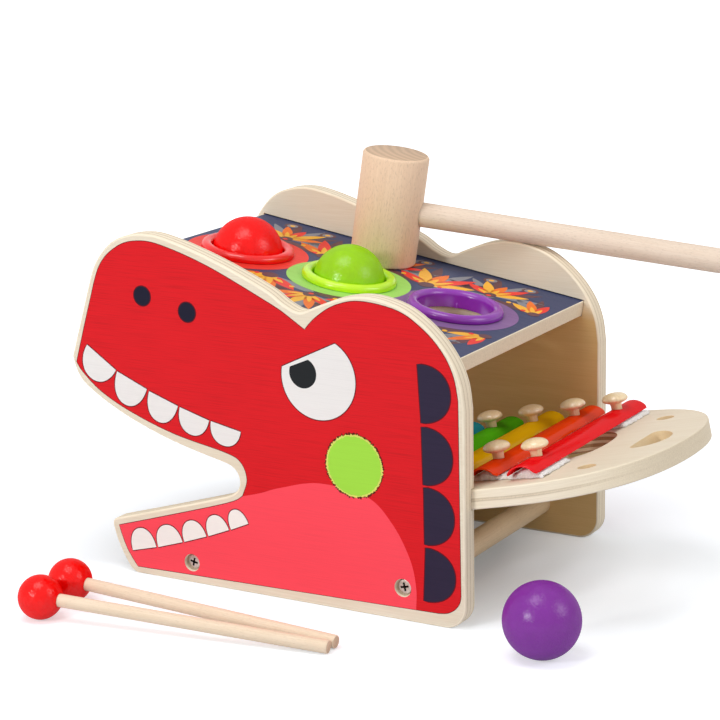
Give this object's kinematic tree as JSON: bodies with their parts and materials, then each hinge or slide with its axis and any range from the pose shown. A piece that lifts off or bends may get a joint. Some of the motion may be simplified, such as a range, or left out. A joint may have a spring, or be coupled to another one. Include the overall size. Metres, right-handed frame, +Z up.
{
  "type": "xylophone pounding bench",
  "caption": "wooden toy bench shaped as a dinosaur head: balls are hammered through rings in its top board, and a xylophone tray with metal bars slides out below, with a hammer and mallets",
  "frame": {"origin": "on the floor, under the middle of the box round the bench, the drawn-out tray, the hammer, the mallets and the loose ball", "axes": "+X from the snout to the tray's rounded end, +Y from the left panel to the right panel, +Z up"},
  "size_m": [0.3764, 0.353, 0.2541],
  "materials": {
    "panel_print": "satin print on birch plywood",
    "board_print": "satin print on plywood",
    "plywood": "bare birch plywood",
    "dowel_beech": "bare",
    "screw_steel": "nickel plated",
    "red_plastic": "gloss",
    "green_plastic": "gloss",
    "purple_plastic": "gloss",
    "red_lacquer": "gloss lacquer",
    "green_lacquer": "gloss lacquer",
    "purple_lacquer": "gloss lacquer",
    "felt": "fuzzy felt",
    "bar_red": "gloss",
    "bar_orange": "gloss",
    "bar_yellow": "gloss",
    "bar_green": "gloss",
    "bar_cyan": "gloss",
    "bar_blue": "gloss",
    "bar_violet": "gloss",
    "bar_pink": "gloss",
    "peg_wood": "clear lacquer",
    "hammer_beech": "bare",
    "stick_wood": "bare"
  },
  "bodies": {
    "bench": {"left_side_panel": "panel_print", "right_side_panel": "panel_print", "top_board": "board_print", "front_cross_dowel": "dowel_beech", "rear_cross_dowel": "dowel_beech", "screw_left_front": "screw_steel", "screw_left_rear": "screw_steel", "screw_right_front": "screw_steel", "screw_right_rear": "screw_steel", "red_ring": "red_plastic", "green_ring": "green_plastic", "purple_ring": "purple_plastic"},
    "tray": {"xylophone_tray": "plywood", "left_felt_strip": "felt", "right_felt_strip": "felt", "tone_bar_1": "bar_red", "tone_bar_2": "bar_orange", "tone_bar_3": "bar_yellow", "tone_bar_4": "bar_green", "tone_bar_5": "bar_cyan", "tone_bar_6": "bar_blue", "tone_bar_7": "bar_violet", "tone_bar_8": "bar_pink", "left_peg_1": "peg_wood", "left_peg_2": "peg_wood", "left_peg_3": "peg_wood", "left_peg_4": "peg_wood", "left_peg_5": "peg_wood", "left_peg_6": "peg_wood", "left_peg_7": "peg_wood", "left_peg_8": "peg_wood", "right_peg_1": "peg_wood", "right_peg_2": "peg_wood", "right_peg_3": "peg_wood", "right_peg_4": "peg_wood", "right_peg_5": "peg_wood", "right_peg_6": "peg_wood", "right_peg_7": "peg_wood", "right_peg_8": "peg_wood"},
    "red_ball": {"red_ball": "red_lacquer"},
    "green_ball": {"green_ball": "green_lacquer"},
    "purple_ball": {"purple_ball": "purple_lacquer"},
    "hammer": {"hammer_head": "hammer_beech", "hammer_handle": "stick_wood"},
    "mallet_a": {"mallet_head_a": "red_lacquer", "mallet_stick_a": "stick_wood"},
    "mallet_b": {"mallet_head_b": "red_lacquer", "mallet_stick_b": "stick_wood"}
  },
  "joints": [
    {"name": "tray_slide", "type": "slide", "parent": "bench", "child": "tray", "axis": [0.9763, 0, 0.2164], "range_m": [-0.058, 0.186]},
    {"name": "red_ball_push", "type": "slide", "parent": "bench", "child": "red_ball", "axis": [0.1625, 0, 0.9867], "range_m": [-0.112, 0.04]},
    {"name": "green_ball_push", "type": "slide", "parent": "bench", "child": "green_ball", "axis": [0.1625, 0, 0.9867], "range_m": [-0.083, 0.04]},
    {"name": "purple_ball_lift", "type": "slide", "parent": "bench", "child": "purple_ball", "axis": [0, 0, 1], "range_m": [0, 0.06]},
    {"name": "hammer_lift", "type": "slide", "parent": "bench", "child": "hammer", "axis": [0, 0, 1], "range_m": [0, 0.06]},
    {"name": "mallet_a_lift", "type": "slide", "parent": "bench", "child": "mallet_a", "axis": [0, 0, 1], "range_m": [0, 0.06]},
    {"name": "mallet_b_lift", "type": "slide", "parent": "bench", "child": "mallet_b", "axis": [0, 0, 1], "range_m": [0, 0.06]}
  ]
}
